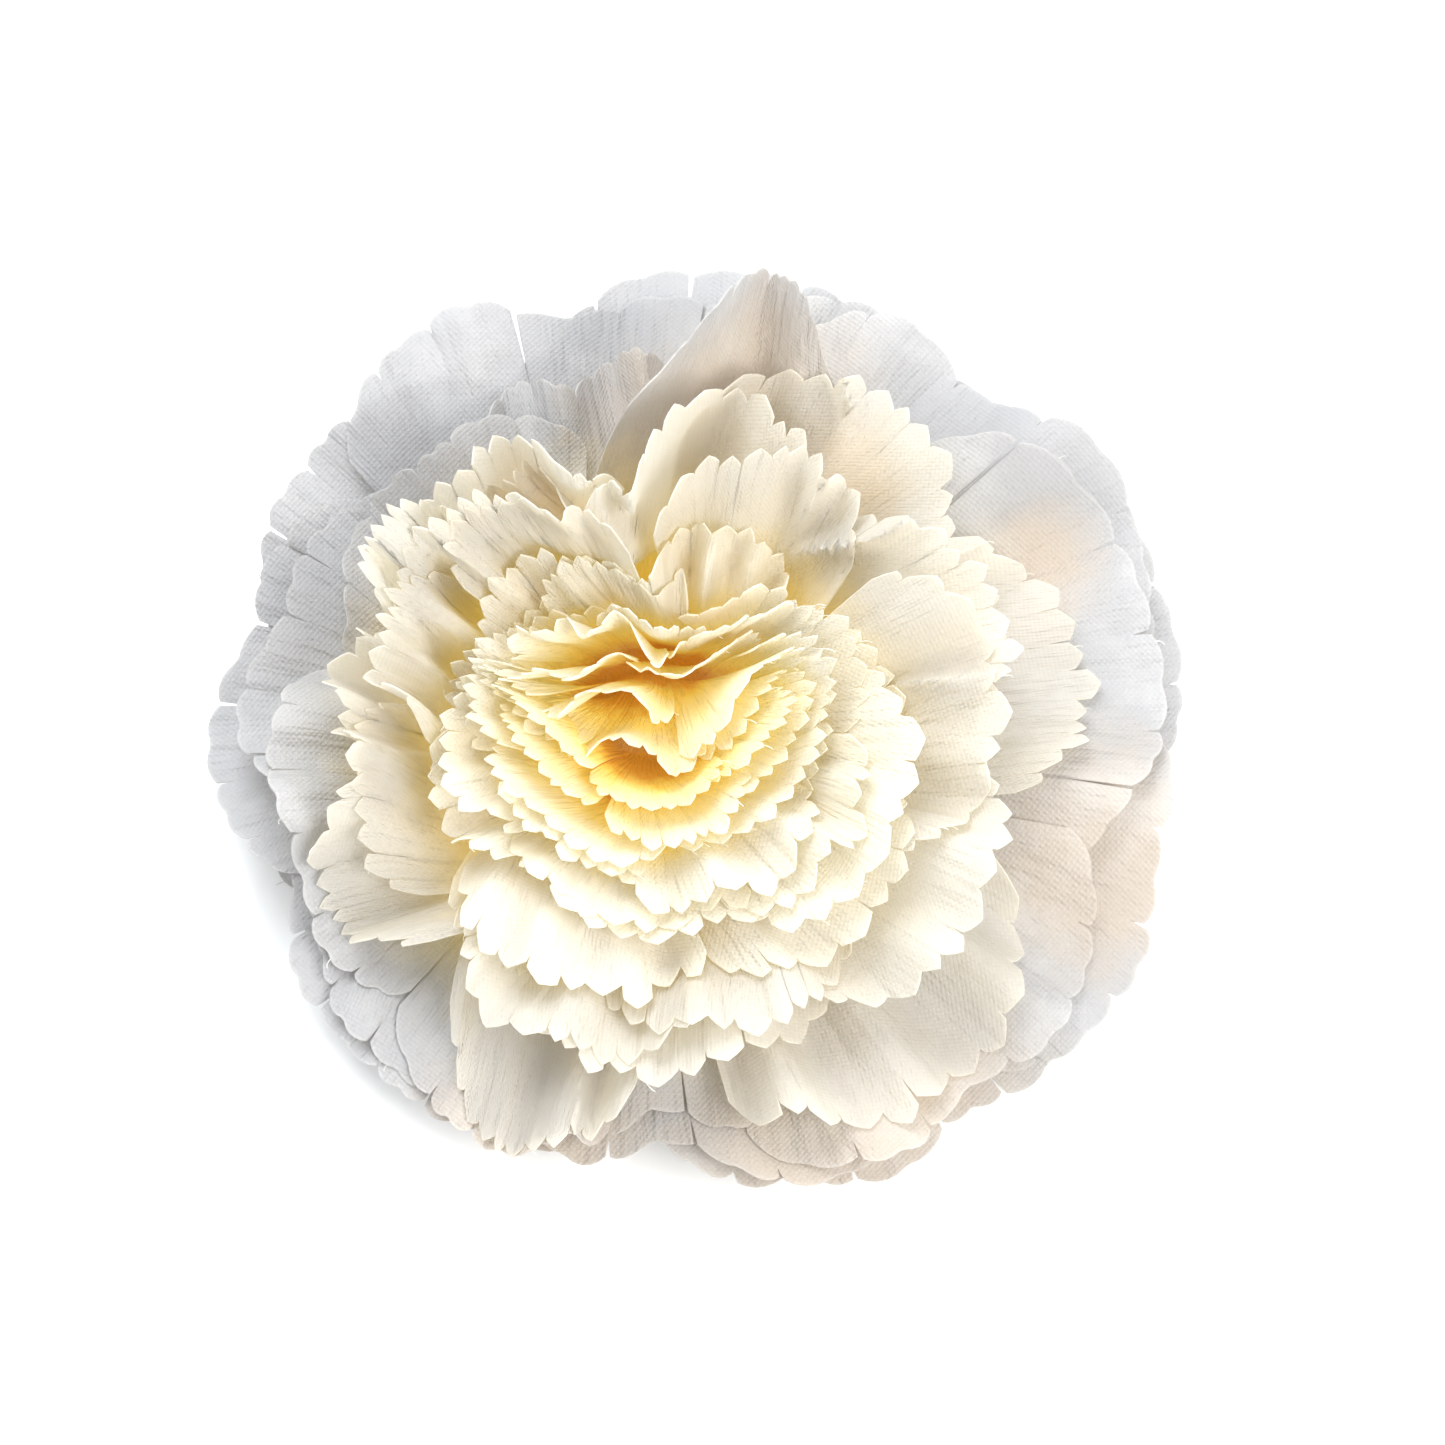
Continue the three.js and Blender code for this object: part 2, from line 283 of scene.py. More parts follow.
# One value for each layer of cloth from the outermost to the innermost: the height of its hub, how steeply
# it stands in degrees at the front and at the back, how far from the peg it turns up and over how long, its
# petals' reach from the peg, how much longer they are on the right and shorter on the left, the curl of
# their tips in degrees, and how far upright cloth fans out sideways.
HUB = [7.4, 8.05, 8.7, 9.35, 11.3, 11.95, 12.6, 13.25, 15.2, 15.85, 16.5, 17.15, 17.8, 18.45, 19.1]
RISE_FRONT = [-10, -7, -3, 2, 8, 15, 20, 25, 30, 34, 38, 42, 46, 51, 56]
RISE_BACK = [2, 7, 14, 24, 40, 50, 60, 70, 88, 92, 97, 102, 112, 126, 148]
BEND_FRONT = [18, 17, 15.9, 14.8, 13.6, 12.5, 11.4, 10.3, 9.2, 8.1, 7, 5.9, 4.8, 3.7, 2.6]
BEND_BACK = [18, 17, 15.9, 14.8, 12.6, 11, 9.5, 8.2, 5.6, 5.0, 4.5, 4, 3.5, 3, 2.6]
BEND_OVER = [12, 12, 12, 11, 10, 9, 8, 7, 6, 6, 5.5, 5, 4, 3, 2.4]
REACH_FRONT = [46, 45.5, 44.5, 43, 38.5, 34, 33, 32, 30, 28, 26, 24, 22, 19.5, 17]
REACH_BACK = [53.5, 52, 50, 47.5, 38, 36.2, 34.2, 31.8, 25, 23.5, 22.5, 21.5, 21, 20, 19]
RIGHT_REACH = [8, 8, 7, 6.5, 4, 3.5, 3, 2.5, 2, 1.5, 1, 0.5, 0, 0, 0]
CURL = [4, 5, 7, 9, 14, 16, 18, 20, 26, 28, 28, 26, 24, 20, 14]
CURL_FROM = 0.72  # share of the reach where the curl starts
CURL_OVER = 11
FAN = [0, 0, 0.05, 0.1, 0.25, 0.35, 0.4, 0.45, 0.55, 0.6, 0.65, 0.7, 0.78, 0.86, 0.92]
FAN_EASE = 3
# Where the outer discs' rims are cut back between petals: direction and half width in degrees, and depth.
NOTCHES = [
    (49, 9, 0.09), (104, 9, 0.08), (160, 7, 0.05), (203, 6, 0.03),
    (271, 9, 0.14), (313, 7, 0.05), (350, 5, 0.02),
]


def smooth(x):
    """0 up to 0, 1 from 1 on, and a smooth step between."""
    x = np.clip(x, 0.0, 1.0)
    return x * x * (3 - 2 * x)


def at_level(table, level):
    """A table's value at a place in the stack of layers, such as 3.5 for halfway from layer 3 to 4. Past
    either end of the stack the table goes on, but more slowly."""
    below = 0.6 * (table[1] - table[0])
    above = 0.5 * (table[-1] - table[-2])
    longer = [table[0] - k * below for k in (3, 2, 1)] + table + [table[-1] + k * above for k in (1, 2, 3)]
    return np.interp(level, np.arange(-3, SHEETS + 3), longer)


# Slow waves shared by all layers, so that their folds nest: waves round the head, drift a layer, drift a
# millimetre outwards, phase, and size. The first set moves the cloth in heights of a layer, the second
# tilts it in degrees.
LEVEL_WAVES = [
    (2, 0.22, 0.02, 0.9, 0.40),
    (3, -0.28, 0.05, 2.3, 0.36),
    (5, 0.33, -0.04, 4.1, 0.34),
    (8, -0.36, 0.06, 0.4, 0.20),
    (11, 0.40, 0.03, 5.2, 0.12),
    (15, -0.45, -0.05, 1.7, 0.05),
]
RISE_WAVES = [
    (2, 0.25, 0.0, 3.9, 3.5),
    (3, -0.3, 0.0, 1.1, 4.0),
    (4, 0.35, 0.0, 5.5, 3.6),
    (7, 0.3, 0.0, 2.0, 2.2),
]
WAVES_FROM = 5  # the waves set in this far from the peg
WAVES_OVER = 16
CALM_FROM = 9  # from this layer on the finer waves die down
CALM_OVER = 4
CALM_SHARE = 0.8
FINE_WAVES = 10


def waves(rows, angle, level, length):
    """The sum of a set of waves, whose finer ones die down towards the innermost layers."""
    total = 0.0
    for around, drift, outward, phase, size in rows:
        calm = 1 - min(1, around / FINE_WAVES) * CALM_SHARE * smooth((level - CALM_FROM) / CALM_OVER)
        total = total + size * calm * np.sin(around * angle + drift * level + outward * length + phase)
    return total


LAY_STEPS = 30  # pieces in which the bend is followed along the cloth


def lay(level, length, angle):
    """Where cloth lies that is this far up the stack and this far along the cloth from the peg."""
    level = level + smooth((length - WAVES_FROM) / WAVES_OVER) * waves(LEVEL_WAVES, angle, level, length)
    back = 0.5 + 0.5 * np.cos(angle - BACK)

    def between(front, rear):
        return at_level(front, level) * (1 - back) + at_level(rear, level) * back

    rise = between(RISE_FRONT, RISE_BACK) + waves(RISE_WAVES, angle, level, length)
    bend = between(BEND_FRONT, BEND_BACK)
    over = at_level(BEND_OVER, level)
    curl = at_level(CURL, level)
    curl_from = between(REACH_FRONT, REACH_BACK) * CURL_FROM
    radius = np.full_like(length, BORE)
    height = at_level(HUB, level)
    for k in range(LAY_STEPS):
        along = BORE + (length - BORE) * (k + 0.5) / LAY_STEPS
        up = rise * smooth((along - bend) / over)
        slope = np.radians(up - curl * smooth((along - curl_from) / CURL_OVER))
        radius = radius + (length - BORE) / LAY_STEPS * np.cos(slope)
        height = height + (length - BORE) / LAY_STEPS * np.sin(slope)
    # What cloth has to spare where it stands up, it spends on fanning out to both sides.
    spare = length - radius
    sideways = radius + at_level(FAN, level) * spare ** 2 / (spare + FAN_EASE)
    return np.stack([sideways * np.cos(angle), radius * np.sin(angle), height], axis=-1)


TIP_FROM, TIP_OVER = 0.62, 0.38  # shares of the reach


class Petal:
    """One petal's own bend away from its layer. Its pose says, in heights of a layer, how far it is lifted,
    tilted to one side by its place in the ring (spin) and by chance (tilt), rolled up at both edges,
    creased along its middle, rippled across, and turned up at its tip. In shares of its size it says how
    much wider and longer it is, and in degrees how far it swings round the head."""

    def __init__(self, layer, centre, whole, reach, pose):
        self.layer = layer
        self.centre = centre
        self.whole = whole
        self.reach = reach
        self.pose = pose

    def free(self, length):
        """0 where the disc is still whole and 1 at the petal's end."""
        return smooth((length - self.whole) / (self.reach - self.whole))

    def half(self, length):
        """Half the angle round the peg that the petal takes."""
        return math.pi / PETALS * (1 + self.pose["widen"] * self.free(length))

    def lying(self, side, length):
        """The direction from the peg of a place across the petal, from -1 to 1."""
        swing = math.radians(self.pose["swing"]) * self.free(length)
        return self.centre + swing + side * self.half(length)

    def side_at(self, angle, length):
        """The place across the petal that lies in a direction."""
        swing = math.radians(self.pose["swing"]) * self.free(length)
        away = (angle - self.centre - swing + math.pi) % (2 * math.pi) - math.pi
        return away / self.half(length)

    def level(self, side, length):
        """How high up the stack the petal lies. A roll and a crease leave its mean height alone."""
        pose = self.pose
        bow = pose["roll"] * (side ** 2 - 0.33) + pose["crease"] * (np.sqrt(side ** 2 + 0.02) - 0.5)
        ripple = pose["ripple"] * np.cos(math.pi * pose["ripples"] * side + pose["phase"])
        tip = pose["tip"] * smooth((length / self.reach - TIP_FROM) / TIP_OVER)
        lift = pose["lift"] + (pose["spin"] + pose["tilt"]) * side + bow + ripple
        return self.layer + self.free(length) * lift + tip


# A map of the pile so far: the height, counted in layers, of the topmost cloth at each place round the
# head and at each millimetre outwards along the cloth.
AROUND, OUTWARD = 540, 56
BARE = -3.0  # under the lowest layer
GAP = 0.16  # between two layers that touch, in heights of a layer
SKIRT = 18  # map places over which a push dies away
PAST_EDGE, PAST_END = 3, 4  # map columns and millimetres by which a petal's level is known past its cut
pile = np.full((OUTWARD, AROUND), BARE)
map_angle = np.arange(AROUND) * 2 * math.pi / AROUND
map_length = np.arange(OUTWARD)[:, None] * 1.0


def spread(push):
    """The same push with a smooth skirt round it."""
    for _ in range(SKIRT):
        wide = (np.roll(push, 1, 1) + 2 * push + np.roll(push, -1, 1)) / 4
        tall = np.pad(wide, ((1, 1), (0, 0)), mode="edge")
        push = np.maximum(push, (tall[:-2] + 2 * tall[1:-1] + tall[2:]) / 4)
    return push


def settle(petals):
    """The levels of a layer's petals as two maps, even and odd, raised clear of the pile and of each other.
    The pile then has this layer on it."""
    levels, sides, present = [], [], []
    for odd in (0, 1):
        level, side, here = np.zeros_like(pile), np.zeros_like(pile), np.zeros(pile.shape, bool)
        for petal in petals[odd::2]:
            across = petal.side_at(map_angle, map_length)
            beyond = (np.abs(across) - 1) * petal.half(map_length)
            on = (beyond < PAST_EDGE * map_angle[1]) & (map_length < petal.reach + PAST_END)
            level = np.where(on, petal.level(across, map_length), level)
            side = np.where(on, across, side)
            here |= on
        levels.append(level)
        sides.append(side)
        present.append(here)
    both = present[0] & present[1]
    upper = sides[0] > sides[1]
    apart = np.where(upper, levels[0] - levels[1], levels[1] - levels[0])
    push = spread(np.where(both, np.maximum(0, GAP - apart), 0)) / 2
    for odd in (0, 1):
        levels[odd] = levels[odd] + np.sign(sides[odd]) * push
        levels[odd] += spread(np.where(present[odd], np.maximum(0, pile + GAP - levels[odd]), 0))
    levels[0] += spread(np.where(both & upper, np.maximum(0, levels[1] + GAP - levels[0]), 0))
    levels[1] += spread(np.where(both & ~upper, np.maximum(0, levels[0] + GAP - levels[1]), 0))
    for odd in (0, 1):
        np.maximum(pile, levels[odd], out=pile, where=present[odd])
    return levels


def on_map(field, angle, length):
    """A map's value in a direction and at a distance along the cloth, blended from the four places round
    it."""
    column = (angle / (2 * math.pi) * AROUND) % AROUND
    row = np.clip(length, 0, OUTWARD - 1.01)
    inner = np.floor(row).astype(int)
    left = np.floor(column).astype(int) % AROUND
    right = (left + 1) % AROUND
    out = row - inner
    over = column - np.floor(column)
    near = field[inner, left] * (1 - over) + field[inner, right] * over
    far = field[inner + 1, left] * (1 - over) + field[inner + 1, right] * over
    return near * (1 - out) + far * out


def unit(vectors):
    """The same directions, each of length 1."""
    return vectors / np.maximum(np.linalg.norm(vectors, axis=-1, keepdims=True), 1e-9)


def facing(grid):
    """Each point's normal on a grid of rows out from the peg and columns across."""
    return unit(np.cross(np.gradient(grid, axis=0), np.gradient(grid, axis=1)))


SHORT_SLITS = 2.6  # the higher, the fewer of the slits are long
SCALLOP_ARC = 0.93  # how much of a half circle a scallop is


def cut_petal(cut, luck, reach_at, cut_back):
    """The cut of one petal: for every column its place across the petal, its rim's distance from the peg,
    the tab it is in and its place across the tab."""
    columns = []
    tabs, scallops = cut["tabs"], cut["scallops"]
    widths = 1 + cut["uneven"] * (luck.random(tabs) - 0.5)
    edges = np.concatenate([[0], np.cumsum(widths)]) / widths.sum()
    shortest, longest = cut["slit"]
    slits = shortest + (longest - shortest) * luck.random(tabs + 1) ** SHORT_SLITS
    ragged = cut["ragged"] * (luck.random(tabs) - 0.5)
    for tab in range(tabs):
        across = cut["across"] if tab == tabs - 1 else cut["across"][:-1]
        for x in across:
            share = edges[tab] + (edges[tab + 1] - edges[tab]) * (x + 1) / 2
            side = 2 * share - 1
            rim = reach_at(side) * (1 - cut["corner"] * abs(side) ** 3 + ragged[tab] - cut_back(side))
            y = 2 * (((x + 1) / 2 * scallops) % 1.0) - 1 if abs(x) < 1 else 1.0  # place across the scallop
            round_tooth = 1 - math.sqrt(max(0.0, 1 - (SCALLOP_ARC * y) ** 2))
            tooth = cut["point"] * abs(y) + (1 - cut["point"]) * round_tooth
            rim -= cut["tooth"] * tooth + cut["shoulder"] * abs(x) ** 4
            if abs(x) == 1 and 0 < share < 1:
                rim -= slits[tab if x < 0 else tab + 1]
            columns.append((side, rim, tab, x))
    side, rim, tab, x = (np.array(values) for values in zip(*columns))
    return side, rim, tab.astype(int), x


def layer_petals(i, cut, luck):
    """The six petals of layer i, each with its own reach and pose."""
    petals = []
    for k in range(PETALS):
        centre = math.radians(cut["turn"]) + 2 * math.pi / PETALS * (k + 0.5)
        back = 0.5 + 0.5 * math.cos(centre - BACK)
        reach = REACH_FRONT[i] * (1 - back) + REACH_BACK[i] * back + RIGHT_REACH[i] * math.cos(centre)
        pose = {key: low + (high - low) * luck.random() for key, (low, high) in cut["pose"].items()}
        pose.update(cut.get("by_hand", {}).get(k, {}))
        petals.append(Petal(i, centre, cut["whole"] * REACH_FRONT[i], reach * pose["long"], pose))
    return petals


HUB_ROWS = 14  # rows of points where the disc is whole
ROW_EASE = 1.15  # above 1, the rows lie closer towards the rim
NEIGHBOUR = 0.25  # share of a petal's reach that its edges take from the petal beside them


def sheet_grids(i, cut, luck):
    """The cloth of layer i as one grid of points for each petal, with the distance of each point and of its
    rim from the peg along the cloth, and its place on the flat cut."""
    petals = layer_petals(i, cut, luck)
    levels = settle(petals)
    whole = cut["whole"] * REACH_FRONT[i]
    grids = []
    for k, petal in enumerate(petals):
        def reach_at(side):
            ahead, behind = petals[(k + 1) % PETALS].reach, petals[k - 1].reach
            beside = ahead if side > 0 else behind
            return petal.reach + (beside - petal.reach) * NEIGHBOUR * abs(side) ** 2

        def cut_back(side):
            here = math.degrees(petal.centre + side * math.pi / PETALS)
            depth = [d * math.exp(-(((here - a + 180) % 360 - 180) / w) ** 2) for a, w, d in NOTCHES]
            return sum(depth) if i < OUTER_SHEETS else 0.0

        side, rim, tab, x = cut_petal(cut, luck, reach_at, cut_back)
        twist = cut["flutter"] * (2 * luck.random(cut["tabs"]) - 1)
        lift = cut["flutter"] * (2 * luck.random(cut["tabs"]) - 1)
        down = np.concatenate([
            np.linspace(0, 1, HUB_ROWS, endpoint=False),
            1 + (1 - (1 - np.linspace(0, 1, cut["rows"])) ** ROW_EASE),
        ])[:, None]
        start = np.minimum(whole, rim - 0.5)
        length = BORE + (start - BORE) * np.minimum(down, 1) + np.maximum(down - 1, 0) * (rim - start)
        lying = petal.lying(side, length)
        grid = lay(on_map(levels[k % 2], lying, length), length, lying)
        lean = smooth((length - (rim.max() - cut["tab_length"])) / cut["tab_length"])
        push = lean * (twist[tab] * x + lift[tab] * (1 - x * x) + cut["cupped"] * (0.5 - x * x))
        grid = grid + facing(grid) * push[..., None]
        angle = petal.centre + side * math.pi / PETALS
        flat = np.stack([length * np.cos(angle), length * np.sin(angle)], axis=-1)
        grids.append((grid, length, rim + 0 * length, flat))
    return grids


def sheet_mesh(name, i, cut, luck, material):
    """A layer of cloth as one closed mesh. Its UV maps are the places on the flat cut, and the distances
    from the peg and from the rim. The area and the width of the flat cut come with it, and the points along
    the rim with the way that the cloth points there."""
    grids = sheet_grids(i, cut, luck)
    rows, columns = grids[0][0].shape[:2]
    points, length, rim, flat = ([] for _ in range(4))
    index = np.zeros((PETALS, rows, columns), int)
    count = 0
    for petal, (grid, lengths, rims, flats) in enumerate(grids):
        fresh = np.ones((rows, columns), bool)
        if petal:
            fresh[: HUB_ROWS + 1, 0] = False
            index[petal, : HUB_ROWS + 1, 0] = index[petal - 1, : HUB_ROWS + 1, -1]
        if petal == PETALS - 1:
            fresh[: HUB_ROWS + 1, -1] = False
            index[petal, : HUB_ROWS + 1, -1] = index[0, : HUB_ROWS + 1, 0]
        index[petal][fresh] = count + np.arange(fresh.sum())
        count += fresh.sum()
        points.append(grid[fresh])
        length.append(lengths[fresh])
        rim.append(rims[fresh])
        flat.append(flats[fresh])
    points, length, rim, flat = (np.concatenate(values) for values in (points, length, rim, flat))
    quads = np.stack([index[:, :-1, :-1], index[:, 1:, :-1], index[:, 1:, 1:], index[:, :-1, 1:]], axis=-1)
    quads = quads.reshape(-1, 4)
    corners = points[quads]
    facet = np.cross(corners[:, 2] - corners[:, 0], corners[:, 3] - corners[:, 1])
    normal = np.zeros_like(points)
    for corner in range(4):
        np.add.at(normal, quads[:, corner], facet)
    normal = unit(normal)
    top, bottom = points + normal * CLOTH / 2, points - normal * CLOTH / 2
    edges = np.concatenate([quads[:, [k, (k + 1) % 4]] for k in range(4)])
    keys = np.minimum(edges[:, 0], edges[:, 1]) * count + np.maximum(edges[:, 0], edges[:, 1])
    _, first, times = np.unique(keys, return_index=True, return_counts=True)
    rims = edges[first[times == 1]]
    walls = np.stack([rims[:, 1], rims[:, 0], rims[:, 0] + count, rims[:, 1] + count], axis=-1)
    faces = np.concatenate([quads, quads[:, ::-1] + count, walls])
    made = shaded_mesh(name, np.concatenate([top, bottom]), faces, material, sharp=1.0)
    mesh = made.data
    corner_points = np.empty(len(mesh.loops), int)
    mesh.loops.foreach_get("vertex_index", corner_points)
    corner_points %= count
    for layer, values in (("flat", flat * MM), ("cut", np.stack([length, rim - length], axis=-1) * MM)):
        uv = mesh.uv_layers.new(name=layer)
        uv.data.foreach_set("uv", values[corner_points].astype(np.float32).ravel())
    cut_corners = flat[quads]
    one = cut_corners[:, 2] - cut_corners[:, 0]
    two = cut_corners[:, 3] - cut_corners[:, 1]
    flat_area = np.abs(one[:, 0] * two[:, 1] - one[:, 1] * two[:, 0]).sum() / 2
    ends = np.concatenate([grid[-1] for grid, *_ in grids])
    ways = np.concatenate([unit(grid[-1] - grid[-2]) for grid, *_ in grids])
    return made, flat_area * MM * MM, 2 * np.linalg.norm(flat, axis=1).max() * MM, ends, ways


DYE_BLEED = 0.006  # how unevenly the dye's edges run
CREAM, CREAM_SHARE = (0.97, 0.84, 0.58, 1), 0.30  # in clouds near the peg
PAINTED_WARM_LIGHT, PAINTED_WARM_LIGHT_SHARE = (0.80, 0.64, 0.47, 1), 0.6  # painted warm light and shade, in round patches
PAINTED_SHEEN_WHITE, PAINTED_SHEEN_SHARE = (0.99, 0.985, 0.97, 1), 0.32  # painted sheen highlights, in cloudy patches
THREAD_GAP_SHADE, THREAD_GAP_SHADE_SHARE = (0.52, 0.47, 0.42, 1), 0.17
SEALED_RIM, SEALED_SHARE = (0.98, 0.96, 0.90, 1), 0.18
PAINTED_GLOW_GOLDEN = (0.90, 0.66, 0.09, 1)  # painted glow colour for light that went through many layers of dyed cloth
PAINTED_GLOW_DIM = (0.14, 0.12, 0.08, 1)  # painted glow colour where the folds open, dimmer
# strength of the painted glow, an emission that lightens the cloth though it is no lamp
PAINTED_GLOW_STRENGTH = 0.22
RUMPLE_HEIGHT, WEAVE_HEIGHT = 0.00032, 0.00008


def cloth(name, dye, through, share, painted_glow_fade, painted_warm_patches, grain):
    """Woven polyester, dyed from the hub outwards: each colour and the stretch where it fades out, the tips
    of the outer and middle discs painted darker as shade, then the colour and the most of the light that it
    lets through, the stretch over which the painted glow dims towards the tips, patches of peach painted warm
    light and shade, each a place and a radius, and a turn for the weave."""
    finish = Finish(name)
    flat = finish.node("ShaderNodeUVMap", {"uv_map": "flat"})["UV"]
    cut = finish.node("ShaderNodeSeparateXYZ", None, {
        "Vector": finish.node("ShaderNodeUVMap", {"uv_map": "cut"})["UV"],
    })
    thread = finish.node("ShaderNodeSeparateXYZ", None, {"Vector": finish.node("ShaderNodeMapping", None, {
        "Vector": flat,
        "Rotation": (0, 0, grain * 0.7),
        "Scale": (math.pi / (THREAD * MM),) * 3,
    })["Vector"]})
    warp, weft = thread["X"].sine(), thread["Y"].sine()
    weave = (abs(warp) * abs(weft)) ** 0.5
    place = finish.node("ShaderNodeTexCoord")["Object"]
    cloud = finish.noise(place, 120.0, 3.0)
    bleed = finish.noise(flat, 420.0, 3.0)
    out = cut["X"] + DYE_BLEED * (bleed - 0.5)  # from the peg along the cloth
    tone = dye[0][0]
    for (_, fade), (colour, _) in zip(dye, dye[1:]):
        tone = finish.mix(out.over(*fade), tone, colour)
    tone = finish.mix(CREAM_SHARE * cloud.over(0.45, 0.75) * (1.0 - out.over(0.02, 0.04)), tone, CREAM)
    # Round peach patches: painted warm light and shade.
    for spot, radius in painted_warm_patches:
        away = finish.node("ShaderNodeVectorMath", {"operation": "DISTANCE"}, {0: place, 1: spot})["Value"]
        painted_warm_mask = 1.0 - (away + 0.004 * (bleed - 0.5)).over(0.3 * radius, radius)
        tone = finish.mix(PAINTED_WARM_LIGHT_SHARE * painted_warm_mask, tone, PAINTED_WARM_LIGHT)
    # Whiter cloudy patches away from the peg: painted sheen highlights.
    painted_sheen = finish.noise(flat, 70.0, 4.0, 0.6)
    tone = finish.mix(PAINTED_SHEEN_SHARE * painted_sheen.over(0.45, 0.72) * out.over(0.011, 0.022), tone, PAINTED_SHEEN_WHITE)
    # Painted shade in the dips between threads.
    tone = finish.mix(THREAD_GAP_SHADE_SHARE * (1.0 - weave), tone, THREAD_GAP_SHADE)
    sealed = 1.0 - cut["Y"].over(0.00005, 0.0004)
    tone = finish.mix(SEALED_SHARE * sealed, tone, SEALED_RIM)
    around = finish.node("ShaderNodeVectorMath", {"operation": "NORMALIZE"}, {0: flat})["Vector"]
    spokes = finish.noise(finish.node("ShaderNodeVectorMath", {"operation": "MULTIPLY_ADD"}, {
        0: around,
        1: (7.0, 7.0, 7.0),
        2: finish.node("ShaderNodeCombineXYZ", None, {"Z": cut["X"] * 30.0 + grain * 3.0})["Vector"],
    })["Vector"], 3.0, 3.0, 0.55)
    rumple = finish.noise(flat, 160.0, 3.0, 0.5)
    slow = finish.bump(spokes * 4.0 + rumple * 2.0, RUMPLE_HEIGHT, 0.65)
    fine = finish.node("ShaderNodeBump", None, {
        "Height": weave + 0.2 * warp * weft,
        "Distance": WEAVE_HEIGHT,
        "Strength": 0.7,
        "Normal": slow,
    })["Normal"]
    # Painted glow: cloth deep in a fold is lit by its neighbours, through the dye, and this emission in warm
    # colours paints that light on, though the cloth is no lamp.
    glow = finish.mix(out.over(0.008, 0.014), tone, PAINTED_GLOW_GOLDEN)
    glow = finish.mix(out.over(*painted_glow_fade), glow, PAINTED_GLOW_DIM)
    skin = finish.node("ShaderNodeBsdfPrincipled", None, {
        "Base Color": tone,
        "Roughness": 0.78 - 0.12 * weave,
        "Normal": fine,
        "Sheen Weight": 0.12,
        "Sheen Roughness": 0.4,
        "Specular IOR Level": 0.3,
        "Emission Color": glow,
        "Emission Strength": PAINTED_GLOW_STRENGTH,
    })["BSDF"]
    lit = finish.node("ShaderNodeBsdfTranslucent", None, {"Color": through})["BSDF"]
    passed = share * out.over(0.007, 0.017)
    both = finish.node("ShaderNodeMixShader", None, {0: passed, 1: skin, 2: lit})["Shader"]
    return finish.surface(both)


rim_ends, rim_ways = [], []  # every layer's rim and which way its cloth points there


def petal_layers(group, first, cuts, material, seed):
    """Every layer of one group of petals, each cut, laid and handed over as a sheet of cloth."""
    luck = np.random.default_rng(seed)
    for k, cut in enumerate(cuts):
        piece, area, across, ends, ways = sheet_mesh(f"{group}_cloth_{k + 1}", first + k, cut, luck, material)
        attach(piece, "root")
        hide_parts(f"{group}_petals_{k + 1}")
        rim_ends.append(ends)
        rim_ways.append(ways)


# The columns of points across one tab of a petal's rim, from edge to edge.
SCALLOPED = [-1, -0.95, -0.82, -0.64, -0.45, -0.25, -0.08, 0.08, 0.25, 0.45, 0.64, 0.82, 0.95, 1]
# The die's cut, lengths in millimetres: tabs on a petal and scallops on a tab, how uneven and ragged they
# are, the slits between them, how the rim falls away to a petal's corners and a tab's shoulders, and how
# deep and pointed a scallop is. Then how far in the tabs flutter and cup, rows of points, and the share of
# the disc that stays whole. A pose gives the range that chance chooses from, and some petals are set one by
# one.
outer_cut = {
    "tabs": 6, "scallops": 2, "across": SCALLOPED, "uneven": 0.5, "slit": (0.8, 7.0), "ragged": 0.02,
    "corner": 0.13, "tooth": 0.9, "point": 0.1, "shoulder": 0.3, "tab_length": 9.0, "flutter": 0.22,
    "cupped": 0.12, "rows": 30, "whole": 0.45,
    "pose": {
        "lift": (-0.6, 0.9), "spin": (0.3, 0.3), "tilt": (-0.4, 0.4), "roll": (-0.5, 0.4),
        "crease": (0, 0), "ripple": (0.2, 0.6), "ripples": (1.6, 3.6), "phase": (0, 6.28),
        "tip": (-0.6, 0.6), "widen": (-0.02, 0.12), "swing": (-4, 4), "long": (0.90, 1.02),
    },
}
outer_cuts = [
    {**outer_cut, "turn": 49},
    {**outer_cut, "turn": 17},
    {**outer_cut, "turn": 72, "by_hand": {
        0: {"long": 0.84, "lift": 0.5, "widen": -0.45, "roll": -0.3},
        1: {"long": 0.95, "lift": 0.6, "roll": 0.6},
        2: {"swing": 8, "long": 0.97, "lift": 1.2, "roll": 1.3, "widen": -0.05, "tip": -0.5},
    }},
    {**outer_cut, "turn": 46, "by_hand": {
        0: {"long": 0.99, "lift": 2.4, "widen": -0.66, "crease": 0.3, "roll": 0.4, "tip": -0.1,
            "ripple": 0.2, "ripples": 2.2},
        1: {"long": 0.86, "lift": 0.6, "tilt": 0.4},
        3: {"long": 1.0, "lift": -0.2, "roll": -1.0, "tip": -0.6},
        4: {"long": 0.99, "lift": -0.3, "ripple": 0.5, "ripples": 2.6},
        5: {"long": 0.97, "lift": 0.9, "tilt": 0.5, "roll": 0.6},
    }},
]
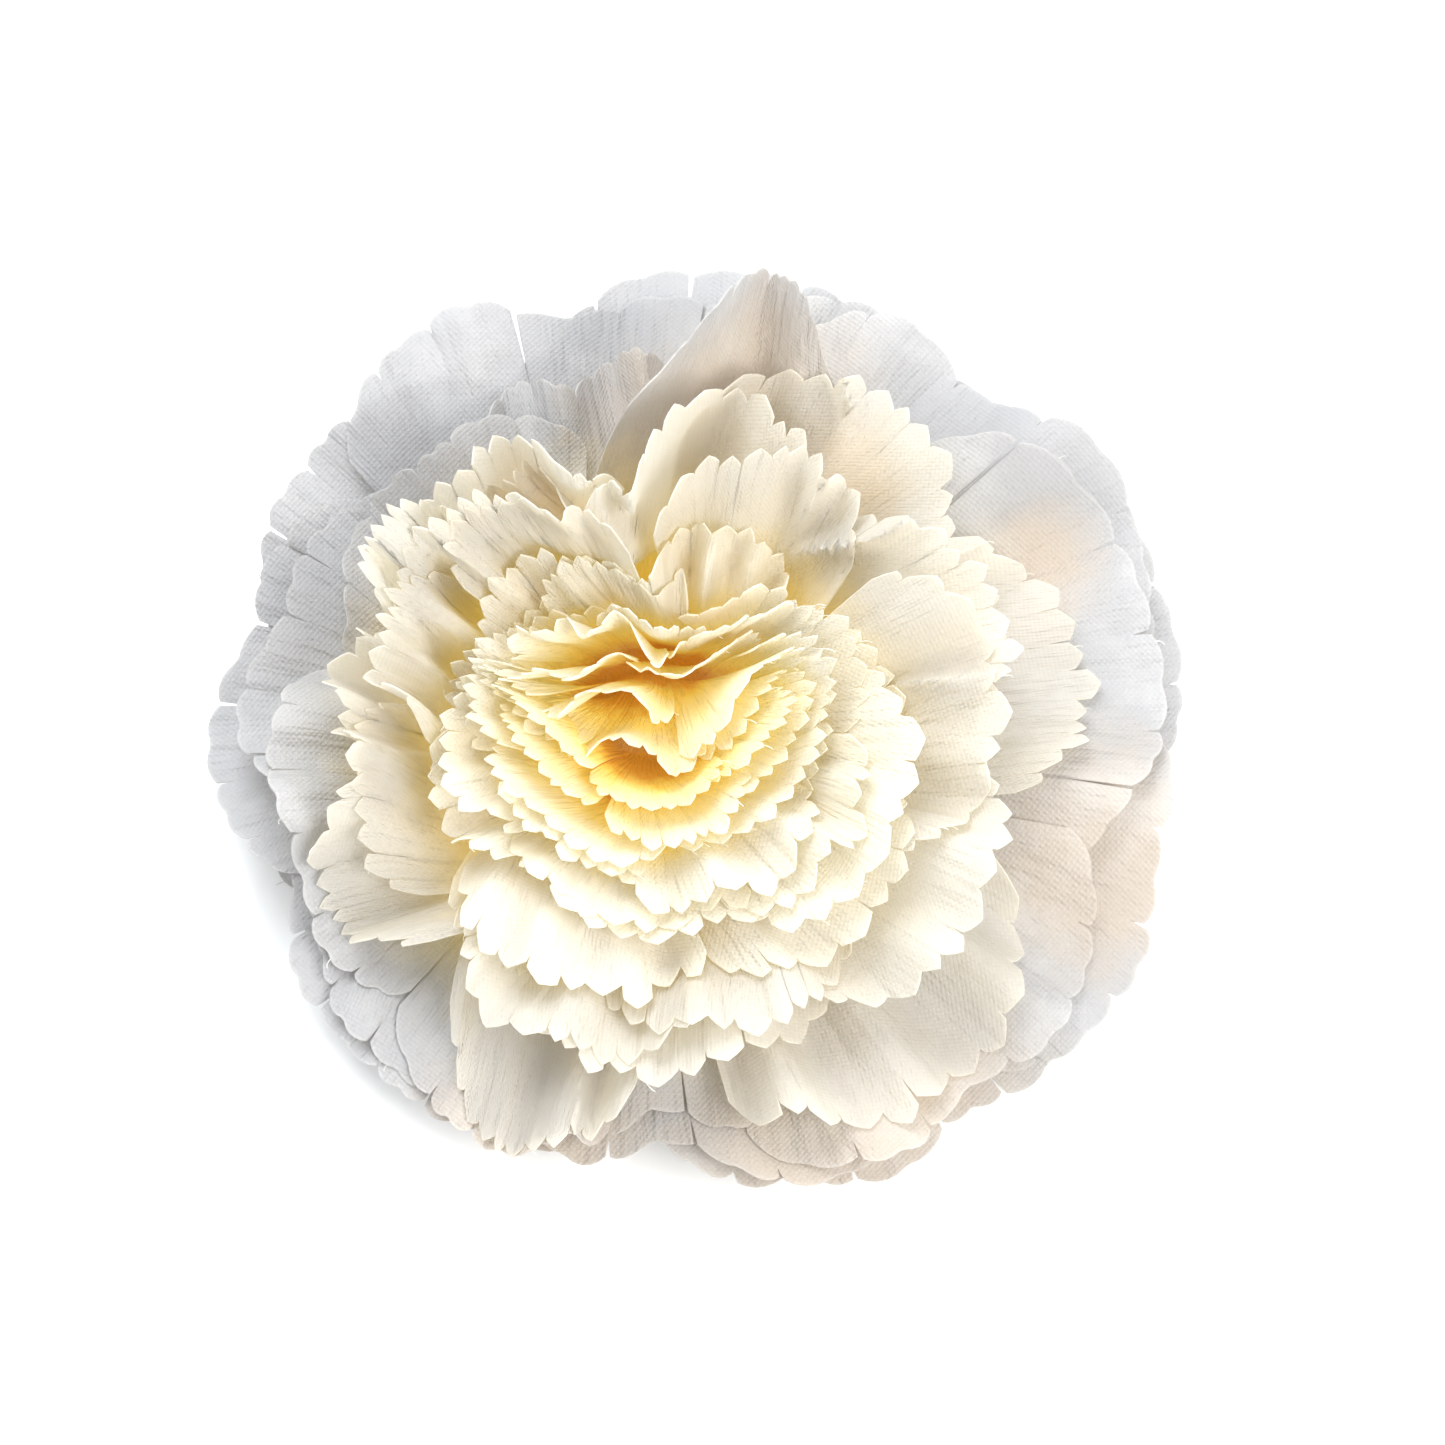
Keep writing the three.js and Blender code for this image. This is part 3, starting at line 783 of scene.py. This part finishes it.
# The outer discs' tones, from the cream band out to the grey-blue tips, are painted darker than the inner
# discs' as shade: it is the same white cloth.
outer_fabric = cloth("outer_fabric", [
    ((0.95, 0.62, 0.12, 1), (0.006, 0.011)),
    ((0.94, 0.84, 0.34, 1), (0.013, 0.023)),
    ((0.72, 0.69, 0.60, 1), (0.022, 0.034)),
    ((0.56, 0.565, 0.585, 1), None),
], (0.80, 0.78, 0.76, 1), 0.36, (0.020, 0.034), [
    ((0.007, 0.035, 0.018), 0.019),
    ((0.042, -0.010, 0.008), 0.016),
    ((0.036, 0.018, 0.012), 0.010),
    ((0.022, -0.042, 0.006), 0.027),
    ((-0.012, -0.042, 0.006), 0.018),
], 1.0)
petal_layers("outer", 0, outer_cuts, outer_fabric, 11)

# ---- Middle petals ----
# Four smaller discs of the same cloth, threaded on the peg above the first spacer. Their petals stand half
# up, each bent its own way and rolled out at the tips, and their tabs are cut to points. The dye reaches
# further out in proportion, so they look cream.

POINTED = [-1, -0.93, -0.6, -0.25, 0, 0.25, 0.6, 0.93, 1]
middle_cut = {
    "tabs": 11, "scallops": 1, "across": POINTED, "uneven": 0.7, "slit": (0.0, 3.2), "ragged": 0.04,
    "corner": 0.15, "tooth": 1.15, "point": 0.8, "shoulder": 0.15, "tab_length": 6.0, "flutter": 0.12,
    "cupped": 0.03, "rows": 30, "whole": 0.34,
    "pose": {
        "lift": (-1.2, 1.6), "spin": (0.3, 0.3), "tilt": (-0.9, 0.9), "roll": (-1.2, 1.6),
        "crease": (-1.0, 1.8), "ripple": (0.3, 0.9), "ripples": (1.4, 3.4), "phase": (0, 6.28),
        "tip": (-1.8, 1.0), "widen": (-0.45, 0.1), "swing": (-12, 12), "long": (0.86, 1.12),
    },
}
middle_cuts = [
    {**middle_cut, "turn": 40, "by_hand": {
        0: {"swing": -15, "lift": 0.6, "roll": 1.2, "long": 1.05, "widen": -0.1},
        1: {"swing": -8, "tip": 2.2, "roll": 1.4, "lift": 0.4, "long": 1.0, "widen": -0.1},
        2: {"swing": -12, "lift": 1.6, "widen": -0.35, "crease": 1.4, "long": 0.95},
        3: {"swing": 3, "crease": 2.2, "widen": -0.55, "long": 1.12, "lift": -0.4, "tip": -1.0},
        4: {"swing": 0, "lift": -0.4, "widen": -0.08, "long": 1.07, "ripple": 0.9, "ripples": 3.4},
        5: {"swing": 0, "lift": 0.4, "roll": 0.8, "long": 1.02},
    }},
    {**middle_cut, "turn": 10, "by_hand": {
        0: {"swing": -22, "lift": 1.6, "widen": -0.5, "crease": 1.6, "long": 0.95},
        1: {"swing": 22, "lift": 2.4, "widen": -0.45, "crease": 2.0, "long": 0.9},
        2: {"swing": -13, "tip": 2.5, "widen": -0.5, "crease": 1.5, "long": 1.15, "lift": 0.4},
        3: {"swing": -12, "crease": 2.0, "widen": -0.52, "long": 1.10, "lift": 0.0, "tip": -1.2},
        4: {"swing": -5, "lift": 0.5, "long": 1.04},
    }},
    {**middle_cut, "turn": 55, "by_hand": {
        0: {"long": 1.09, "crease": 1.3, "widen": -0.2, "lift": 0.3, "tip": 0.0, "ripple": 0.3},
        1: {"long": 1.08, "roll": 1.6, "tip": 2.4, "lift": -0.2, "crease": 0, "ripple": 0.2,
            "ripples": 1.4},
        3: {"long": 1.06, "lift": 0.2, "widen": -0.1, "crease": -0.8},
        4: {"long": 1.10, "lift": 0.6, "tip": 0.6, "crease": 1.2, "widen": -0.2},
    }},
    {**middle_cut, "turn": 25, "by_hand": {
        0: {"long": 1.07, "crease": -0.8, "widen": -0.15, "lift": 0.4, "ripple": 0.3, "ripples": 1.6,
            "tip": 0.0},
        1: {"long": 1.07, "roll": 0.8, "crease": 0.9, "tip": 0.6, "lift": 0.1, "ripple": 0.25,
            "ripples": 1.8},
        3: {"long": 0.94, "tip": -0.8},
        5: {"long": 1.06, "roll": 1.0, "lift": 0.3},
    }},
]
# The middle discs' light grey tips are painted shade, a little darker than the inner discs' white tips.
middle_fabric = cloth("middle_fabric", [
    ((0.96, 0.64, 0.05, 1), (0.006, 0.012)),
    ((0.98, 0.82, 0.24, 1), (0.012, 0.020)),
    ((0.92, 0.85, 0.62, 1), (0.017, 0.027)),
    ((0.77, 0.77, 0.785, 1), None),
], (1.0, 0.95, 0.82, 1), 0.56, (0.019, 0.031), [
    ((-0.010, 0.020, 0.022), 0.009),
    ((0.019, 0.023, 0.022), 0.008),
    ((0.030, 0.004, 0.020), 0.007),
], 2.0)
petal_layers("middle", OUTER_SHEETS, middle_cuts, middle_fabric, 23)

# ---- Inner petals ----
# Seven small discs of the same cloth, threaded on the peg above the second spacer and gathered tight under
# the cap, so that they stand as ruffles and lean to the front. Their roots take the most dye, and a painted
# glow deepens it, standing in for the light that they pass on to each other.

inner_cut = {
    "tabs": 10, "scallops": 1, "across": POINTED, "uneven": 0.6, "slit": (0.0, 2.2), "ragged": 0.06,
    "corner": 0.14, "tooth": 1.0, "point": 0.9, "shoulder": 0.1, "tab_length": 5.0, "flutter": 0.15,
    "cupped": 0.06, "rows": 26, "whole": 0.32,
    "pose": {
        "lift": (-0.6, 0.8), "spin": (0.3, 0.3), "tilt": (-0.6, 0.6), "roll": (-0.8, 1.0),
        "crease": (-0.7, 0.9), "ripple": (0.1, 0.6), "ripples": (1.5, 4.0), "phase": (0, 6.28),
        "tip": (-1.2, 0.6), "widen": (-0.1, 0.3), "swing": (-12, 12), "long": (0.85, 1.07),
    },
}
# The innermost petals stand so close that they can't bend far.
calm_pose = {
    **inner_cut["pose"], "lift": (-0.2, 0.3), "tilt": (-0.25, 0.25), "roll": (-0.2, 0.4),
    "crease": (-0.1, 0.2), "ripple": (0.0, 0.15), "tip": (-0.3, 0.2), "long": (0.95, 1.05),
}
inner_cuts = [{**inner_cut, "turn": turn} for turn in (35, 5, 50, 20)]
inner_cuts += [{**inner_cut, "turn": turn, "pose": calm_pose} for turn in (38, 10, 62)]
inner_fabric = cloth("inner_fabric", [
    ((0.78, 0.37, 0.004, 1), (0.0080, 0.0120)),
    ((0.98, 0.74, 0.11, 1), (0.0105, 0.0155)),
    ((0.98, 0.93, 0.66, 1), (0.014, 0.020)),
    ((0.97, 0.975, 0.98, 1), None),
], (1.0, 0.95, 0.78, 1), 0.54, (0.013, 0.022), [((0.006, 0.006, 0.028), 0.006)], 3.0)
petal_layers("inner", OUTER_SHEETS + MIDDLE_SHEETS, inner_cuts, inner_fabric, 37)

# ---- Frayed yarns ----
# Ends of single polyester yarns that worked loose along the cut rims. The weave still holds each by its
# root, and it curls away from the cloth.

YARN_RADIUS = 0.045
YARN_SHORTEST, YARN_LONGEST = 0.3, 1.1  # times the length of the curl
YARN_SHARE = 0.02  # of the points along the rims
YARN_CURL = {  # in metres, from its root inside the weave to its end
    "Start": (0.0, 0.0, -0.0003), "Middle": (0.0002, 0.0001, 0.0007), "End": (0.0007, -0.0002, 0.0009),
}


def fraying():
    """Geometry nodes that set a curled yarn on a share of a mesh's points, pointing along their "way"."""
    tree = bpy.data.node_groups.new("fraying", "GeometryNodeTree")
    recipe = Recipe(tree)
    sizes = (
        ("Rim", "NodeSocketGeometry"), ("Share", "NodeSocketFloat"), ("Yarn Radius", "NodeSocketFloat"),
        ("Shortest", "NodeSocketFloat"), ("Longest", "NodeSocketFloat"), ("Seed", "NodeSocketInt"),
        ("Yarn", "NodeSocketMaterial"),
    )
    for name, kind in sizes:
        tree.interface.new_socket(name, in_out="INPUT", socket_type=kind)
    tree.interface.new_socket("Yarns", in_out="OUTPUT", socket_type="NodeSocketGeometry")
    given = recipe.node("NodeGroupInput")
    curl = recipe.node("GeometryNodeCurveQuadraticBezier", None, {"Resolution": 7, **YARN_CURL})["Curve"]
    section = recipe.node("GeometryNodeCurvePrimitiveCircle", None, {
        "Resolution": 4, "Radius": given["Yarn Radius"],
    })["Curve"]
    tube = recipe.node("GeometryNodeCurveToMesh", None, {
        "Curve": curl, "Profile Curve": section, "Fill Caps": True,
    })["Mesh"]
    way = recipe.node("GeometryNodeInputNamedAttribute", {"data_type": "FLOAT_VECTOR"}, {
        "Name": "way",
    })["Attribute"]
    stray = recipe.node("FunctionNodeRandomValue", {"data_type": "FLOAT_VECTOR"}, {
        0: (-0.5, -0.5, -0.2), 1: (0.5, 0.5, 0.7), 8: given["Seed"],
    })["Value"]
    aim = recipe.node("ShaderNodeVectorMath", {"operation": "ADD"}, {0: way, 1: stray})["Vector"]
    turned = recipe.node("FunctionNodeAlignRotationToVector", {"axis": "Z"}, {"Vector": aim})["Rotation"]
    size = recipe.node("FunctionNodeRandomValue", {"data_type": "FLOAT"}, {
        2: given["Shortest"], 3: given["Longest"], 8: given["Seed"] + 1,
    })["Value"]
    chosen = recipe.node("FunctionNodeRandomValue", {"data_type": "BOOLEAN"}, {
        6: given["Share"], 8: given["Seed"] + 2,
    })["Value"]
    placed = recipe.node("GeometryNodeInstanceOnPoints", None, {
        "Points": given["Rim"], "Selection": chosen, "Instance": tube, "Rotation": turned, "Scale": size,
    })["Instances"]
    real = recipe.node("GeometryNodeRealizeInstances", None, {"Geometry": placed})["Geometry"]
    dressed = recipe.node("GeometryNodeSetMaterial", None, {
        "Geometry": real, "Material": given["Yarn"],
    })["Geometry"]
    recipe.node("NodeGroupOutput", None, {"Yarns": dressed})
    return tree


yarn_finish = Finish("frayed_yarn")
place = yarn_finish.node("ShaderNodeTexCoord")["Object"]
sheen = yarn_finish.noise(place, 900.0, 2.0)
frayed_yarn = yarn_finish.surface(yarn_finish.node("ShaderNodeBsdfPrincipled", None, {
    "Base Color": yarn_finish.mix(sheen.over(0.3, 0.7), (0.80, 0.77, 0.68, 1), (0.93, 0.92, 0.88, 1)),
    "Roughness": 0.45 + 0.2 * sheen,
    "Sheen Weight": 0.2,
})["BSDF"])
rim_mesh = bpy.data.meshes.new("frayed_yarns")
rim_mesh.from_pydata((np.concatenate(rim_ends) * MM).tolist(), [], [])
way = rim_mesh.attributes.new("way", "FLOAT_VECTOR", "POINT")
way.data.foreach_set("vector", np.concatenate(rim_ways).astype(np.float32).ravel())
yarns = bpy.data.objects.new("frayed_yarns", rim_mesh)
bpy.context.scene.collection.objects.link(yarns)
fray = yarns.modifiers.new("fraying", "NODES")
fray.node_group = fraying()
amounts = {
    "Share": YARN_SHARE, "Yarn Radius": YARN_RADIUS * MM, "Shortest": YARN_SHORTEST, "Longest": YARN_LONGEST,
    "Seed": 5, "Yarn": frayed_yarn,
}
for socket in fray.node_group.interface.items_tree:
    if socket.name in amounts:
        fray[socket.identifier] = amounts[socket.name]
loose = bpy.data.meshes.new_from_object(yarns.evaluated_get(bpy.context.evaluated_depsgraph_get()))
yarns.modifiers.clear()
yarns.data = loose
yarns.data.name = "frayed_yarns"
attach(yarns, "root")

# ---- Floor, light and camera ----
# The head stands face up on a plain pale floor that shines a little, to stay white. A soft light hangs in
# front of it to the right and a larger, cooler one behind it to the left, both high up under an even sky,
# and the camera looks down on it from the front.

floor_finish = Finish("pale_floor")
paint = floor_finish.node("ShaderNodeBsdfPrincipled", None, {
    "Base Color": (0.93, 0.93, 0.93, 1),
    "Roughness": 0.9,
    "Specular IOR Level": 0.1,
    "Emission Color": (1.0, 1.0, 1.0, 1),
    "Emission Strength": 0.10,
})["BSDF"]
HALF_FLOOR = 900
floor_corners = [(x * HALF_FLOOR, y * HALF_FLOOR, 0) for x, y in ((-1, -1), (1, -1), (1, 1), (-1, 1))]
floor = shaded_mesh("floor", floor_corners, [(0, 1, 2, 3)], floor_finish.surface(paint))

scene = bpy.context.scene
scene.view_settings.view_transform = "Standard"
world = bpy.data.worlds.new("soft_sky")
world.use_nodes = True
sky = world.node_tree.nodes["Background"]
sky.inputs["Color"].default_value = (0.90, 0.95, 1.0, 1)
sky.inputs["Strength"].default_value = 0.78
scene.world = world

HEAD_MIDDLE = Vector((0.002, 0.0, 0.02))


def softbox(name, place, size, power, colour):
    """A round soft light that points at the middle of the head."""
    data = bpy.data.lights.new(name, "AREA")
    data.shape = "DISK"
    data.size = size
    data.energy = power
    data.color = colour
    lamp = bpy.data.objects.new(name, data)
    lamp.location = place
    lamp.rotation_euler = (HEAD_MIDDLE - Vector(place)).to_track_quat("-Z", "Y").to_euler()
    scene.collection.objects.link(lamp)


softbox("front_light", (0.28, -0.20, 0.38), 0.34, 2.1, (1.0, 0.985, 0.955))
softbox("rear_light", (-0.12, 0.26, 0.42), 0.4, 2.6, (0.95, 0.975, 1.0))

ELEVATION = math.radians(72)
DISTANCE = 0.46
FRAME_WIDTH = 1445 * 0.0953 * MM
SENSOR_WIDTH = 36
aim = Vector((0.0069, 0.0020, 0.012))
camera_data = bpy.data.cameras.new("camera")
camera_data.sensor_width = SENSOR_WIDTH
camera_data.lens = SENSOR_WIDTH * DISTANCE / FRAME_WIDTH
camera = bpy.data.objects.new("camera", camera_data)
camera.location = aim + DISTANCE * Vector((0, -math.cos(ELEVATION), math.sin(ELEVATION)))
camera.rotation_euler = (aim - camera.location).to_track_quat("-Z", "Y").to_euler()
scene.collection.objects.link(camera)
scene.camera = camera
